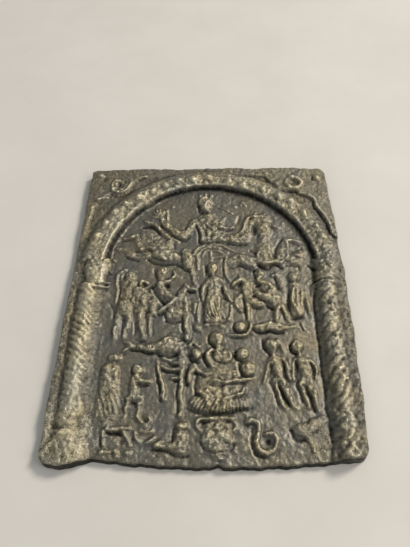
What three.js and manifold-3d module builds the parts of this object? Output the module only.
// A small cast lead votive plaque: an arched niche between twisted columns, full of figures in low relief.
// Millimetres. +X runs to the right across the face, +Y to the plaque's top and +Z out of the face.
// The flat back lies on Z = 0 and the origin is its middle. Everything is cast as one piece.
// Angles of limbs are in degrees from straight down, and positive towards +X.
import * as THREE from "three";
import { mergeVertices } from "three/addons/utils/BufferGeometryUtils.js";
import Module from "manifold-3d";

const wasm = await Module();
wasm.setup();

// Plate
const TOP = 43.2;
const BOTTOM = -44.5;
const CORNER = 1.6;
const SIDES = { left: -35.25, leftLean: 0.0125, right: 35.5, rightLean: 0.003, rightBulge: 1.2 };
const LOWER_BOW = { x: 4, rise: 2, reach: 31 };
const LOWER_BUMPS = [
  { x: -32.5, rise: -2.6, reach: 6 },
  { x: -23.4, rise: 0.5, reach: 1.8 },
  { x: 3.6, rise: 0.5, reach: 0.9 },
];
const FIELD_Z = 1.8;
const FRAME_Z = 2.3;
const SINK = 0.9;

// Arch and columns
const ARCH = { x: 1.1, y: 7.7, radius: 30.3, halfWidth: 3.6, rise: 2.2, steps: 24 };
const BEADS = { count: 19, radius: 1.25, rise: 2.6 };
const COLUMN = { radius: 3.25, rise: 2.9, top: 1.4, sides: 6, depth: 0.07 };
const LEFT = { x: -29.3, foot: -37, fluteGap: 3.4, climb: -3.6, baseWidths: [3.2, 4.3, 5.2] };
const RIGHT = { x: 31.8, foot: -38.8, fluteGap: 4, climb: 4.2, baseWidths: [3.2, 3.5, 3.6] };

// Rise of the relief above the floor that it stands on
const HEAD_RISE = 1.6;
const BODY_RISE = 1.25;
const LIMB_RISE = 1.05;
const DETAIL_RISE = 0.7;
const LINE_RISE = 0.5;

// Proportions of a human figure, as shares of its height
const BODY = {
  headUp: 0.125, headWide: 0.088, headTall: 0.125, shoulder: 0.115, waist: 0.085, hip: 0.1, torso: 0.31,
  upperArm: 0.17, foreArm: 0.16, armWide: 0.046, stance: 0.055, thigh: 0.2, shin: 0.19, legWide: 0.062,
  ankleWide: 0.042, tunic: 0.17, tunicWide: 0.135, robe: 0.37, robeWide: 0.115,
};

// Section of a bar: side and height shares of its half round, from one edge over the crest to the other
const BAR_SECTION = [[1, 0], [0.55, 0.85], [-0.55, 0.85], [-1, 0]];
const THIN_SECTION = [[1, 0], [0, 0.9], [-1, 0]];
const THIN = 0.78;
const ROUND_END = { reach: 0.55, width: 0.5, rise: 0.55 };

const step = ([x, y], angle, length) => {
  const turn = THREE.MathUtils.degToRad(angle);
  return [x + length * Math.sin(turn), y - length * Math.cos(turn)];
};
const shift = ([x, y], dx, dy) => [x + dx, y + dy];

// A value that is the same all along, or one value for each point
const valueAt = (value, index) => (Array.isArray(value) ? value[index] : value);

// Points of a smooth curve through a few points
function smooth(points, steps) {
  const curve = new THREE.CatmullRomCurve3(points.map(([x, y]) => new THREE.Vector3(x, y, 0)));
  return curve.getPoints(steps).map((p) => [p.x, p.y]);
}

// Points of an arc round a centre, from one angle to another, with a radius that may change on the way
function arc([x, y], radii, fromAngle, toAngle, steps) {
  return Array.from({ length: steps + 1 }, (_, i) => {
    const share = i / steps;
    const angle = THREE.MathUtils.degToRad(THREE.MathUtils.lerp(fromAngle, toAngle, share));
    const radius = THREE.MathUtils.lerp(valueAt(radii, 0), valueAt(radii, 1), share);
    return [x + radius * Math.cos(angle), y + radius * Math.sin(angle)];
  });
}

// A closed triangle mesh as a solid
function solidOf(geometry) {
  const bare = new THREE.BufferGeometry().setAttribute("position", geometry.getAttribute("position"));
  bare.setIndex(geometry.index);
  const merged = mergeVertices(bare, 1e-4);
  const triVerts = [];
  for (let i = 0; i < merged.index.count; i += 3) {
    const [a, b, c] = merged.index.array.slice(i, i + 3);
    if (a !== b && b !== c && c !== a) triVerts.push(a, b, c);
  }
  return new wasm.Manifold(
    new wasm.Mesh({
      numProp: 3,
      vertProperties: merged.attributes.position.array,
      triVerts: new Uint32Array(triVerts),
    }),
  );
}

// A closed solid through a row of loops with equally many corners, anticlockwise seen from the last loop
function loft(loops) {
  const corners = loops[0].length;
  const index = [];
  for (let row = 0; row + 1 < loops.length; row++) {
    for (let i = 0; i < corners; i++) {
      const [a, b] = [row * corners + i, row * corners + ((i + 1) % corners)];
      index.push(a, b, b + corners, a, b + corners, a + corners);
    }
  }
  const last = (loops.length - 1) * corners;
  for (let i = 1; i + 1 < corners; i++) {
    index.push(0, i + 1, i, last, last + i, last + i + 1);
  }
  const position = new THREE.Float32BufferAttribute(loops.flat(2), 3);
  return solidOf(new THREE.BufferGeometry().setAttribute("position", position).setIndex(index));
}

// A half-round bar on a floor, along a row of points, with a half width and a rise at each of them
function bar(points, widths, rises, floor = FIELD_Z) {
  const last = points.length - 1;
  const sections = points.map((point, i) => {
    const [before, after] = [points[Math.max(i - 1, 0)], points[Math.min(i + 1, last)]];
    const along = new THREE.Vector2(after[0] - before[0], after[1] - before[1]).normalize();
    return { point, along, width: valueAt(widths, i), rise: valueAt(rises, i) };
  });
  const rounded = ({ point, along, width, rise }, sign) => ({
    point: shift(point, sign * along.x * width * ROUND_END.reach, sign * along.y * width * ROUND_END.reach),
    along,
    width: width * ROUND_END.width,
    rise: rise * ROUND_END.rise,
  });
  const all = [rounded(sections[0], -1), ...sections, rounded(sections[last], 1)];
  const section = Math.max(...sections.map(({ width }) => width)) < THIN ? THIN_SECTION : BAR_SECTION;
  return loft(
    all.map(({ point, along, width, rise }) => {
      const corner = (side, z) => [point[0] - along.y * side * width, point[1] + along.x * side * width, z];
      const upper = section.map(([side, up]) => corner(side, floor + up * rise));
      return [...upper, corner(-1, floor - SINK), corner(1, floor - SINK)];
    }),
  );
}

// A limb of two straight lengths, bent where they meet
function limb(start, [upper, lower], [upperLength, lowerLength], widths, rise) {
  const joint = step(start, upper, upperLength);
  return bar([start, joint, step(joint, lower, lowerLength)], widths, rise);
}

// A dome with an oval foot
function lump([x, y], [radiusX, radiusY], rise, turn = 0, floor = FIELD_Z, sides = 7) {
  const profile = [[0, -SINK / rise], [1, -SINK / rise], [1, 0], [0.75, 0.66], [0, 1]];
  const dome = new THREE.LatheGeometry(profile.map(([r, z]) => new THREE.Vector2(r, z)), sides);
  dome.rotateX(Math.PI / 2).scale(radiusX, radiusY, rise);
  dome.rotateZ(THREE.MathUtils.degToRad(turn)).translate(x, y, floor);
  return solidOf(dome);
}

// The plate's outline: a bulged right side, rounded corners above and a bowed, chipped lower edge
const leftEdge = (y) => SIDES.left + SIDES.leftLean * y;
const rightEdge = (y) => SIDES.right + SIDES.rightLean * y + SIDES.rightBulge * (1 - (y / TOP) ** 2);
const bump = ({ x, rise, reach }, at) => rise * Math.exp(-(((at - x) / reach) ** 2));
const lowerEdge = (x) => {
  const bowed = BOTTOM + LOWER_BOW.rise * ((x - LOWER_BOW.x) / LOWER_BOW.reach) ** 2;
  return LOWER_BUMPS.reduce((y, each) => y + bump(each, x), bowed);
};

function outline() {
  const shape = new THREE.Shape();
  const high = TOP - CORNER;
  const [lowLeft, lowRight] = [leftEdge(BOTTOM), rightEdge(BOTTOM)];
  const [leftFoot, rightFoot] = [lowerEdge(lowLeft) + CORNER / 2, lowerEdge(lowRight) + CORNER];
  const lowerSteps = 30;
  const sideSteps = 8;
  shape.moveTo(lowLeft, leftFoot);
  for (let i = 0; i <= lowerSteps; i++) {
    const x = THREE.MathUtils.lerp(lowLeft + CORNER / 2, lowRight - CORNER / 2, i / lowerSteps);
    shape.lineTo(x, lowerEdge(x));
  }
  for (let i = 0; i <= sideSteps; i++) {
    const y = THREE.MathUtils.lerp(rightFoot, high, i / sideSteps);
    shape.lineTo(rightEdge(y), y);
  }
  shape.quadraticCurveTo(rightEdge(TOP), TOP, rightEdge(TOP) - CORNER, TOP);
  shape.lineTo(leftEdge(TOP) + CORNER, TOP);
  shape.quadraticCurveTo(leftEdge(TOP), TOP, leftEdge(high), high);
  return shape;
}

// The sunk field: as wide as the gap between the columns, open below, and round above
function fieldShape() {
  const shape = new THREE.Shape();
  shape.moveTo(LEFT.x, BOTTOM - CORNER);
  shape.lineTo(RIGHT.x, BOTTOM - CORNER);
  shape.lineTo(ARCH.x + ARCH.radius, ARCH.y);
  shape.absarc(ARCH.x, ARCH.y, ARCH.radius, 0, Math.PI);
  return shape;
}

function prism(shape, from, to) {
  const options = { depth: to - from, bevelEnabled: false, curveSegments: 10 };
  return solidOf(new THREE.ExtrudeGeometry(shape, options).translate(0, 0, from));
}

function plate() {
  return prism(outline(), 0, FRAME_Z).subtract(prism(fieldShape(), FIELD_Z, FRAME_Z + SINK));
}

// A half-round shaft whose flutes wind round it and climb by as much from its axis to its edge.
// Each loop of corners lies along a crest or a groove, so it slants across the shaft.
function twistedShaft({ x, foot, fluteGap, climb }) {
  const { radius, rise, top, sides, depth } = COLUMN;
  const count = 2 * Math.round((top - foot) / fluteGap);
  const loops = Array.from({ length: count + 1 }, (_, row) => {
    const swell = 1 + (row % 2 ? depth : -depth);
    const middle = THREE.MathUtils.lerp(foot, top, row / count);
    const across = (side, z) => [x + radius * side, middle + climb * side, z];
    const upper = Array.from({ length: sides + 1 }, (_, i) => {
      const angle = Math.PI * (1 - i / sides);
      return across(swell * Math.cos(angle), FIELD_Z + rise * swell * Math.sin(angle));
    });
    return [...upper, across(1, FIELD_Z - SINK), across(-1, FIELD_Z - SINK)];
  });
  return loft(loops);
}

// A leafy capital between a ring below and a slab above
function capital({ x }) {
  const { radius, rise, top } = COLUMN;
  const leaves = [-1, 0, 1].map((i) => {
    const leafRise = rise + 0.3 - Math.abs(i) * 0.5;
    return lump([x + i * radius * 0.85, top + 3.1], [1.6, 2.7], leafRise, -i * 14, FIELD_Z, 6);
  });
  const ring = [-0.9, 0, 0.9].map((side) => [x + side * radius, top]);
  const slab = [-1.3, 1.3].map((side) => [x + side * radius, top + 6]);
  return [
    ...leaves,
    bar(slab, 0.9, rise + 0.1),
    bar(ring, 0.7, [rise * 0.6, rise * 1.15, rise * 0.6]),
  ];
}

function column(side) {
  const { rise } = COLUMN;
  const base = [0.8, -2.6, -5.2].map((down) => [side.x, side.foot + down]);
  const baseRises = [rise * 0.9, rise * 0.95, rise * 0.6];
  return [twistedShaft(side), ...capital(side), bar(base, side.baseWidths, baseRises)];
}

function archivolt() {
  const centre = [ARCH.x, ARCH.y];
  const beadPlaces = arc(centre, ARCH.radius + 0.4, 8, 172, BEADS.count - 1);
  return [
    bar(arc(centre, ARCH.radius, 0, 180, ARCH.steps), ARCH.halfWidth, ARCH.rise),
    ...beadPlaces.map((place) => lump(place, [BEADS.radius, BEADS.radius], BEADS.rise, 0, FIELD_Z, 5)),
  ];
}

// A serpent in an upper corner: a coil, a body that runs down the edge and a head that looks to the middle
function cornerSerpent(side) {
  const place = ([x, y]) => [side * x, y];
  const coil = arc([25.6, 38], 2.9, -60, 270, 9).map(place);
  const run = [[27.4, 35.6], [30.6, 32.3], [32.6, 28.4], [33.6, 23.4], [34.4, 18.5]];
  const body = smooth(run.map(place), 6);
  const neck = smooth([[24.2, 40.6], [21, 41.4], [18, 40.9]].map(place), 4);
  return [
    bar(coil, 1.05, DETAIL_RISE + 0.3, FRAME_Z),
    bar(body, body.map((_, i) => 1.25 - 0.12 * i), DETAIL_RISE + 0.2, FRAME_Z),
    bar(neck, [0.9, 0.8, 0.7, 0.8, 0.95], DETAIL_RISE, FRAME_Z),
    lump(place([33.6, 40.2]), [1.1, 1.4], DETAIL_RISE, -side * 20, FRAME_Z, 6),
  ];
}

// A human figure from its neck: torso, head, and each arm and leg as two angles
function person({ neck, height, lean = 0, headSize = 1, arms = [], legs = [], dress = "bare" }) {
  const size = (share) => share * height;
  const hips = step(neck, lean, size(BODY.torso));
  const waist = step(neck, lean, size(BODY.torso * 0.62));
  const head = step(neck, lean + 180, size(BODY.headUp));
  const pieces = [
    lump(head, [size(BODY.headWide) * headSize, size(BODY.headTall) * headSize], HEAD_RISE, lean),
    bar([neck, waist, hips], [BODY.shoulder, BODY.waist, BODY.hip].map(size), BODY_RISE),
  ];
  if (dress === "tunic") {
    const hem = step(hips, lean, size(BODY.tunic));
    pieces.push(bar([hips, hem], [size(BODY.hip), size(BODY.tunicWide)], [BODY_RISE, BODY_RISE - 0.1]));
  }
  if (dress === "robe") {
    const hem = step(hips, lean, size(BODY.robe));
    pieces.push(bar([hips, hem], [size(BODY.hip), size(BODY.robeWide)], [BODY_RISE, BODY_RISE + 0.1]));
  }
  arms.forEach((angles, i) => {
    const shoulder = shift(neck, (i ? 1 : -1) * size(BODY.shoulder), -size(0.035));
    const widths = [BODY.armWide, BODY.armWide * 0.9, BODY.armWide * 0.75].map(size);
    pieces.push(limb(shoulder, angles, [size(BODY.upperArm), size(BODY.foreArm)], widths, LIMB_RISE));
  });
  legs.forEach((angles, i) => {
    const hip = shift(hips, (i ? 1 : -1) * size(BODY.stance), 0);
    const widths = [BODY.legWide, BODY.legWide * 0.9, BODY.ankleWide].map(size);
    pieces.push(limb(hip, angles, [size(BODY.thigh), size(BODY.shin)], widths, LIMB_RISE));
  });
  return pieces;
}

// A horse from its chest and rump, with its neck, head and legs; a leg starts at a share of the body
function horse({ chest, rump, depth, poll, muzzle, legs }) {
  const along = (share) => [
    THREE.MathUtils.lerp(chest[0], rump[0], share),
    THREE.MathUtils.lerp(chest[1], rump[1], share),
  ];
  return [
    bar([chest, rump], depth, BODY_RISE),
    bar([chest, poll], [depth * 0.75, depth * 0.42], BODY_RISE),
    bar([poll, muzzle], [depth * 0.42, depth * 0.26], BODY_RISE + 0.1),
    ...legs.map(({ share, angles, lengths }) =>
      limb(shift(along(share), 0, -depth * 0.4), angles, lengths, [0.9, 0.6, 0.5], LIMB_RISE)),
  ];
}

// The sun god's bust, his raised right arm with an open hand, and the rays about his head
function sunGod() {
  const head = [0.2, 29.4];
  const rays = [-92, -140, 180, 140, 68].map((angle) =>
    bar([step(head, angle, 2.6), step(head, angle, angle === 180 ? 5.6 : 6.4)], 0.28, LINE_RISE));
  const fingers = [-34, -22, -8].map((angle) =>
    bar([[-12.3, 24.6], step([-12.3, 24.6], angle + 180, 3.4)], 0.42, DETAIL_RISE));
  const folds = [0, 1, 2].map((i) =>
    bar([[-2.6 + i * 1.5, 24 - i * 0.3], [-1 + i * 1.7, 17.4]], 0.5, BODY_RISE + 0.2));
  return [
    lump(head, [2, 2.8], HEAD_RISE),
    lump([10.9, 30], [1.1, 1.3], DETAIL_RISE, 0, FIELD_Z, 6),
    bar([[1, 25.2], [1.4, 21], [2, 17.4]], [2.2, 4.2, 4], [0.9, 1, 0.9]),
    bar(smooth([[-3.2, 23.2], [-5, 19.4], [-7.6, 19.3], [-12.3, 24.6]], 5), 1, LIMB_RISE),
    bar([[6, 24], [3.6, 22.4], [0.6, 23.2]], 0.5, BODY_RISE + 0.15),
    bar([[-2.4, 16.8], [4, 16.6], [12.4, 15.9]], 0.55, DETAIL_RISE + 0.1),
    ...fingers,
    ...folds,
    ...rays,
  ];
}

// Two foreparts of the chariot's team, springing away from the middle to one side
function chariotTeam(side) {
  const place = ([x, y]) => [side * x, y];
  const haunch = smooth([[6.4, 10.4], [11.4, 11.6], [16.6, 12.6], [20.6, 13.6]].map(place), 4);
  const mane = smooth([[8.6, 17.2], [11.2, 20.4], [13.6, 23.4], [17, 24.2]].map(place), 4);
  return [
    bar(haunch, [1.8, 2.3, 2.5, 2.1, 1.6], BODY_RISE),
    bar(mane, [0.7, 0.8, 1, 0.9, 0.6], LIMB_RISE),
    bar([[13, 15], [15.2, 19.6], [17, 22.6]].map(place), [2.4, 2.1, 1.4], BODY_RISE - 0.1),
    bar([[17, 22.6], [18.4, 18]].map(place), [1.4, 0.8], BODY_RISE + 0.2),
    bar([[19.4, 13.6], [21, 16.4], [22.4, 18]].map(place), [1.6, 1.3, 0.9], BODY_RISE - 0.1),
    bar([[22.4, 18], [24.2, 15.4]].map(place), [0.9, 0.55], BODY_RISE),
    limb(place([16, 12.4]), [side * 52, -side * 28], [3.4, 3], [0.8, 0.6, 0.5], LIMB_RISE),
    limb(place([20.4, 13]), [side * 60, -side * 20], [3.4, 2.8], [0.7, 0.6, 0.5], LIMB_RISE),
  ];
}

// The goddess in the middle: a long robe with swept folds under an arched veil
function goddess() {
  const veilCentre = [2.1, 10.4];
  const folds = [0, 1, 2, 3].map((i) => {
    const sweep = [[0.6 + i * 0.9, -2.8 - i * 0.4], [1 + i * 0.95, -6], [2.6 + i * 0.6, -8.6]];
    return bar(sweep, 0.36, BODY_RISE + 0.35);
  });
  return [
    ...person({
      neck: [2.2, 3.6], height: 19.2, headSize: 0.95, dress: "robe",
      arms: [[-18, 8], [27, 22]],
    }),
    bar(arc(veilCentre, 5, 8, 168, 7), 0.5, DETAIL_RISE + 0.1),
    bar(arc(veilCentre, 3.3, 15, 165, 4), 0.38, LINE_RISE),
    bar([[1.9, 13.4], [1.9, 9.6]], 0.35, LINE_RISE),
    bar([[-2.6, 11.2], [-1.7, 6.4]], 0.45, LINE_RISE),
    bar([[6.9, 11.2], [5.8, 6.6], [6.4, 3]], 0.5, LINE_RISE + 0.1),
    lump([0.9, -10.3], [0.8, 0.55], DETAIL_RISE, 0, FIELD_Z, 6),
    lump([4.5, -10.5], [0.8, 0.55], DETAIL_RISE, 0, FIELD_Z, 6),
    ...folds,
  ];
}

// A staff with a round foot, beside the goddess
function staff(top, foot) {
  return [bar([top, foot], 0.45, DETAIL_RISE), lump(foot, [0.9, 0.9], DETAIL_RISE + 0.3, 0, FIELD_Z, 6)];
}

function leftRider() {
  return [
    ...horse({
      chest: [-6.6, -5], rump: [-15, -4.9], depth: 3.4, poll: [-6.2, 0.8], muzzle: [-2.8, -0.2],
      legs: [
        { share: 0.06, angles: [8, 0], lengths: [3.4, 4.6] },
        { share: 0.78, angles: [4, 8], lengths: [3, 4] },
        { share: 1.02, angles: [-14, 20], lengths: [4, 4.4] },
      ],
    }),
    bar([[-12.2, 3], [-11, -0.6], [-9.4, -4]], [1.9, 1.6, 1.5], BODY_RISE + 0.5),
    lump([-11.5, 6], [1.9, 2.4], HEAD_RISE, 20),
    bar([[-11.4, 2.2], [-9.4, 2.7], [-7.9, 5.2]], [0.8, 0.7, 0.55], LIMB_RISE),
    bar([[-7.6, -3], [-11.2, -6.8]], [1, 0.7], BODY_RISE + 0.5),
    bar([[-13.4, 1.2], [-15.6, 2.4], [-17.2, 1.6]], 0.6, DETAIL_RISE),
    bar([[-4.5, 11.4], [-4.4, 8.4]], [1.3, 1.1], LIMB_RISE),
    bar([[-3.6, 8], [-2.8, 2.4]], [0.5, 0.4], DETAIL_RISE),
  ];
}

function rightRider() {
  return [
    ...horse({
      chest: [11.6, -1.8], rump: [18.4, -2.6], depth: 2.8, poll: [9.4, 3.2], muzzle: [7, 0.8],
      legs: [
        { share: 0, angles: [-8, 6], lengths: [2.6, 4.2] },
        { share: -0.14, angles: [-60, 30], lengths: [2.4, 3] },
        { share: 0.9, angles: [12, 0], lengths: [3, 3.6] },
        { share: 1.06, angles: [24, 18], lengths: [2.6, 3.2] },
      ],
    }),
    bar([[15.9, 3], [16.2, 0.6], [16.6, -1.6]], [1.7, 1.5, 1.4], BODY_RISE + 0.45),
    lump([15.6, 5.6], [1.5, 2], HEAD_RISE, -8),
    bar([[14.8, 2], [13, 1.2], [11.6, 2.4]], [0.7, 0.6, 0.5], LIMB_RISE),
    bar([[14.2, -1], [18, -3.8]], [1, 0.8], BODY_RISE + 0.45),
    bar(smooth([[18, 3.4], [19.2, 5], [19, 2.4], [19.8, 0.2]], 5), 0.55, DETAIL_RISE),
  ];
}

function warrior() {
  return [
    ...person({
      neck: [-20.3, 2], height: 21.5, dress: "tunic",
      arms: [[-24, -4], [30, 16]], legs: [[-4, 0], [4, -2]],
    }),
    bar(arc([-20.3, 4.4], 3, 60, 190, 4), 0.4, LINE_RISE),
    bar([[-24.3, 7.6], [-23.8, -13.8]], 0.4, LINE_RISE),
  ];
}

function robedWoman() {
  const folds = [-1, 0, 1].map((i) =>
    bar([[24 + i * 0.9, 0.4], [24.4 + i * 1.2, -7.8]], 0.38, BODY_RISE + 0.3));
  return [
    ...person({ neck: [23.8, 1.7], height: 15.2, lean: 3, arms: [[-16, 4], [14, 4]], dress: "robe" }),
    ...folds,
  ];
}

function fallenMan() {
  return [
    lump([9.1, -10.9], [1.6, 1.6], HEAD_RISE),
    bar([[12.6, -11.2], [15.6, -10.5], [18.6, -11], [24, -10.8]], [1, 1.2, 1.1, 0.5], LIMB_RISE),
    bar(smooth([[11.8, -10.2], [11, -12.2], [9, -13.2], [5.8, -13.2]], 5), 0.42, DETAIL_RISE),
  ];
}

function fish() {
  const spine = smooth([[-18, -16.2], [-14.4, -16.2], [-11, -15.6], [-8, -15.2], [-4.8, -15.2]], 6);
  return [
    bar(spine, [0.6, 0.9, 1.4, 2, 2.5, 2.2, 0.8], [0.8, 0.9, 1.1, 1.3, 1.4, 1.3, 0.8]),
    bar([[-18, -16.2], [-19.8, -14.8]], [0.5, 0.7], DETAIL_RISE),
    bar([[-18, -16.2], [-19.4, -17.6]], [0.5, 0.6], DETAIL_RISE),
  ];
}

// Three guests behind a round table whose cloth falls in pleats
function banquet() {
  const pleats = Array.from({ length: 6 }, (_, i) => {
    const share = i / 5;
    const top = [-0.4 + 9 * share, -29.2 + 1.4 * Math.abs(share - 0.5)];
    return bar([top, [-2.6 + 13 * share, -31.6]], 0.5, LIMB_RISE + 0.35);
  });
  return [
    lump([3.2, -14.1], [2, 2.3], HEAD_RISE),
    lump([3.7, -19.2], [3.1, 2.8], BODY_RISE),
    bar(arc([3.7, -19.4], 2.7, 130, 260, 3), 0.7, BODY_RISE + 0.35),
    bar(arc([3.7, -19.4], 2.7, 50, -70, 3), 0.7, BODY_RISE + 0.35),
    bar([[3, -22.2], [5.6, -23], [8, -22.6]], 0.6, LIMB_RISE),
    lump([-1.9, -17.9], [1.7, 1.9], HEAD_RISE),
    bar([[-3.6, -15.4], [-1.6, -15]], 0.6, DETAIL_RISE + 0.2),
    bar([[-2.4, -21.2], [-3.1, -25.4]], [1.1, 0.8], LIMB_RISE),
    bar([[-2.2, -21.6], [0.6, -23.2], [3.4, -23.6]], 0.6, LIMB_RISE),
    lump([9.4, -18], [1.7, 1.9], HEAD_RISE),
    lump([10.8, -21.7], [2.3, 2], BODY_RISE + 0.2),
    bar([[4, -26], [4.2, -28]], [5.6, 4.4], LIMB_RISE),
    bar(arc([4.1, -25], 5.5, 180, 360, 7), 0.5, LIMB_RISE + 0.4),
    bar([[2.2, -25.5], [6, -25.2], [10.4, -24.6]], [0.7, 0.5, 0.4], LIMB_RISE + 0.5),
    bar([[3.8, -28.6], [3.8, -31.4]], [5.4, 7.2], LIMB_RISE - 0.1),
    ...pleats,
  ];
}

function dancers() {
  return [
    ...person({
      neck: [17.3, -19], height: 18.6, lean: 6, arms: [[-18, -8], [18, 8]], legs: [[12, 14], [19, 18]],
    }),
    ...person({
      neck: [23.3, -18.5], height: 18.2, lean: 6, headSize: 0.92,
      arms: [[-6, 16], [27, -8]], legs: [[4, 8], [11, 14]],
    }),
  ];
}

// The tree with a slaughtered ram hung from it, and the man at work on the carcass
function skinningScene() {
  const branch = (tip, y) => bar([tip, [-5.4, y]], [0.4, 0.5], DETAIL_RISE);
  return [
    bar([[-5.2, -17.6], [-5.3, -26], [-5.6, -33]], [0.75, 0.6, 0.8], LIMB_RISE),
    bar(smooth([[-11.2, -18.6], [-10.6, -22.4], [-9.6, -27.8]], 4), [0.5, 0.6, 0.7, 0.9, 0.7], LIMB_RISE),
    branch([-8.6, -19.4], -20.6),
    branch([-10.2, -21.6], -22.4),
    branch([-7, -24.8], -25.2),
    ...person({
      neck: [-16.1, -23.9], height: 14.6, lean: -3, dress: "tunic", headSize: 0.9,
      arms: [[60, 84], [64, 80]], legs: [[-4, -6], [4, 44]],
    }),
  ];
}

function robedMan() {
  const folds = [-1, 0, 1].map((i) =>
    bar([[-22.4 + i * 1.2, -27.4], [-22.2 + i * 1.7, -33]], 0.4, BODY_RISE + 0.1));
  return [
    lump([-21.7, -18.8], [1.6, 1.3], LIMB_RISE),
    lump([-22.2, -23.6], [2.3, 2.8], BODY_RISE),
    bar([[-22.3, -25], [-22.3, -33]], [2.3, 2.9], LIMB_RISE - 0.1),
    ...folds,
  ];
}

function smallTable() {
  return [
    bar([[-22.2, -36.2], [-16.6, -35.4]], 0.65, LIMB_RISE),
    bar([[-21.4, -36.6], [-22.8, -40.8]], 0.5, DETAIL_RISE),
    bar([[-17.6, -36.2], [-16.2, -40.6]], 0.5, DETAIL_RISE),
    bar([[-21.6, -41.4], [-16.2, -41.6]], [0.7, 0.6], DETAIL_RISE - 0.1),
  ];
}

function cockerel() {
  return [
    bar([[-14.8, -34.2], [-12.2, -36]], [0.45, 0.4], LINE_RISE + 0.1),
    bar(smooth([[-14.6, -37], [-14.2, -39.4], [-12.4, -38.6], [-10.6, -37.6]], 5), 0.5, LINE_RISE + 0.1),
    bar([[-14.4, -36.6], [-11.2, -35]], [0.5, 0.4], LINE_RISE + 0.1),
  ];
}

function lion() {
  return [
    lump([-5.3, -35.7], [1.5, 1.4], BODY_RISE),
    lump([-5.4, -38.6], [1.9, 2.2], BODY_RISE),
    bar([[-4.2, -40.2], [-7.4, -40.4], [-10.6, -39.6]], [1.4, 1, 1], [1.1, 0.8, 1]),
  ];
}

function krater() {
  const bowl = [[3, -35.4], [3, -37], [3, -38.8], [3, -40.4]];
  return [
    bar(bowl, [2.4, 3.5, 3.5, 2], [1, 1.4, 1.5, 1.1]),
    bar([[-1, -34.1], [7, -34.1]], 0.6, LIMB_RISE),
    bar(arc([-0.2, -36], 1.6, 100, 220, 4), 0.4, DETAIL_RISE),
    bar(arc([6.2, -36], 1.6, 80, -40, 4), 0.4, DETAIL_RISE),
  ];
}

// A serpent that rears beside the krater, its tail in a coil
function rearingSerpent() {
  const coil = arc([14.2, -39], [2.7, 1.5], -170, 180, 10);
  return [
    lump([10.2, -34.6], [1.4, 0.9], LIMB_RISE, 10),
    bar([...smooth([[11, -34.4], [12.1, -35.4], [12, -37.6]], 3), ...coil], 0.7, LIMB_RISE),
  ];
}

function crouchingBeast() {
  return [
    bar([[21.2, -36.8], [23.8, -35.6], [26.6, -34.6]], [1.2, 1.6, 1.1], BODY_RISE),
    limb([23.4, -37], [20, 8], [1.6, 1.6], [0.7, 0.5, 0.4], DETAIL_RISE),
  ];
}

// The frame round the niche stands on the plate, and the figures stand a little lower than they are laid out
const FIGURES_DOWN = 0.5;
const architecture = [...archivolt(), ...column(LEFT), ...column(RIGHT)];
const figures = [
  ...cornerSerpent(-1),
  ...cornerSerpent(1),
  ...sunGod(),
  ...chariotTeam(-1),
  ...chariotTeam(1),
  ...goddess(),
  ...staff([-1.8, -3.6], [-1.9, -10.5]),
  ...staff([6.5, -4.2], [6.5, -8.5]),
  ...leftRider(),
  ...rightRider(),
  ...warrior(),
  ...robedWoman(),
  ...fallenMan(),
  ...fish(),
  ...banquet(),
  ...dancers(),
  ...skinningScene(),
  ...robedMan(),
  ...smallTable(),
  ...cockerel(),
  ...lion(),
  ...krater(),
  ...rearingSerpent(),
  ...crouchingBeast(),
];

const join = (solids) => solids.reduce((whole, piece) => whole.add(piece));

function geometryOf(solid) {
  const mesh = solid.getMesh();
  return new THREE.BufferGeometry()
    .setAttribute("position", new THREE.BufferAttribute(mesh.vertProperties, 3))
    .setIndex(new THREE.BufferAttribute(mesh.triVerts, 1));
}

// The relief joined to the plate and trimmed to its outline
function castPlaque() {
  const scene = solidOf(geometryOf(join(figures)).translate(0, -FIGURES_DOWN, 0));
  const whole = join([plate(), ...architecture, scene]);
  const geometry = geometryOf(whole.intersect(prism(outline(), 0, 3 * COLUMN.rise)));
  geometry.computeVertexNormals();
  geometry.computeBoundingBox();
  return geometry;
}

const lead = new THREE.MeshStandardMaterial({ color: 0x746d60, roughness: 0.55, metalness: 0.6 });
const plaque = new THREE.Mesh(castPlaque(), lead);
const middle = plaque.geometry.boundingBox.getCenter(new THREE.Vector3());
plaque.name = "plaque";
plaque.position.set(-middle.x, -middle.y, 0);

const part = new THREE.Group();
part.add(plaque);

export default part;
